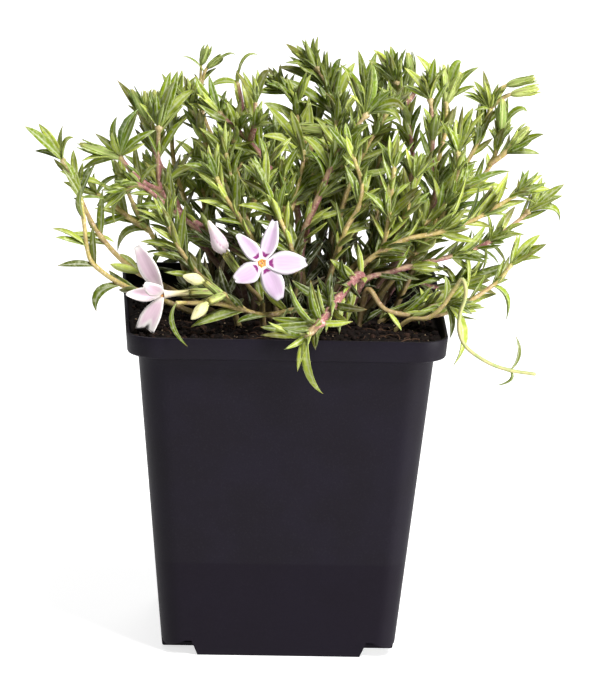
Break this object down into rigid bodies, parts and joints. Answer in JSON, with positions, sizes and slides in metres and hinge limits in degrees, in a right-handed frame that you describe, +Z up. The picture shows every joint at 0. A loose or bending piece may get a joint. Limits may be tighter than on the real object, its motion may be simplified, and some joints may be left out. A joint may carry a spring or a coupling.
{
  "type": "potted phlox plant",
  "caption": "Moss phlox in bloom, wiry stems with needle-like leaf pairs and pale pink flowers, standing in a square tapered nursery pot filled with peat.",
  "frame": {"origin": "centre of the pot's foot, on the plane it rests on", "axes": "+Z up from the foot to the rim; X and Y along the square pot's sides, with the open flower towards -Y"},
  "size_m": [0.153, 0.1092, 0.1672],
  "materials": {
    "pot": "fine matte moulded plastic",
    "soil": "crumbly dark peat",
    "leaf": "satin green leaf with red-brown stems",
    "petal": "soft pale pink petal with white edge",
    "cream_petal": "soft pale cream petal"
  },
  "bodies": {
    "root": {"pot": "pot", "soil": "soil", "stem_front_flower": "leaf", "stem_pink_bud": "leaf", "stem_side_flower": "leaf", "stem_cream_buds": "leaf", "stem_left_arch": "leaf", "stem_left_low": "leaf", "stem_left_main": "leaf", "stem_left_twin": "leaf", "stem_left_olive": "leaf", "stem_dark_buds": "leaf", "stem_left_upright": "leaf", "stem_top_left": "leaf", "stem_pink_left": "leaf", "stem_small_tip": "leaf", "stem_top_centre": "leaf", "stem_centre_pink": "leaf", "stem_centre_left": "leaf", "stem_nodding_bud": "leaf", "stem_centre_olive": "leaf", "stem_right_olive": "leaf", "stem_right_top": "leaf", "stem_right_tall": "leaf", "stem_right_two_buds": "leaf", "stem_right_cream_tips": "leaf", "stem_right_bud": "leaf", "stem_right_leafy": "leaf", "stem_right_long": "leaf", "stem_right_pink": "leaf", "stem_right_low": "leaf", "stem_right_over": "leaf", "stem_trailing": "leaf", "stem_right_rim": "leaf", "stem_front_drape": "leaf", "stem_mid_left": "leaf", "stem_mid_centre": "leaf", "stem_mid_right": "leaf", "stem_inner_a": "leaf", "stem_inner_b": "leaf", "stem_inner_c": "leaf", "stem_inner_d": "leaf", "stem_inner_e": "leaf", "stem_inner_f": "leaf", "stem_mid_low_left": "leaf", "stem_back_1": "leaf", "stem_back_2": "leaf", "stem_back_3": "leaf", "stem_back_4": "leaf", "stem_back_5": "leaf", "stem_back_6": "leaf", "stem_back_7": "leaf", "stem_back_8": "leaf", "stem_back_9": "leaf", "stem_back_10": "leaf", "corolla_front": "petal", "corolla_side": "petal", "corolla_pink_bud": "petal", "corolla_cream_left": "cream_petal", "corolla_cream_low": "cream_petal"}
  },
  "joints": []
}
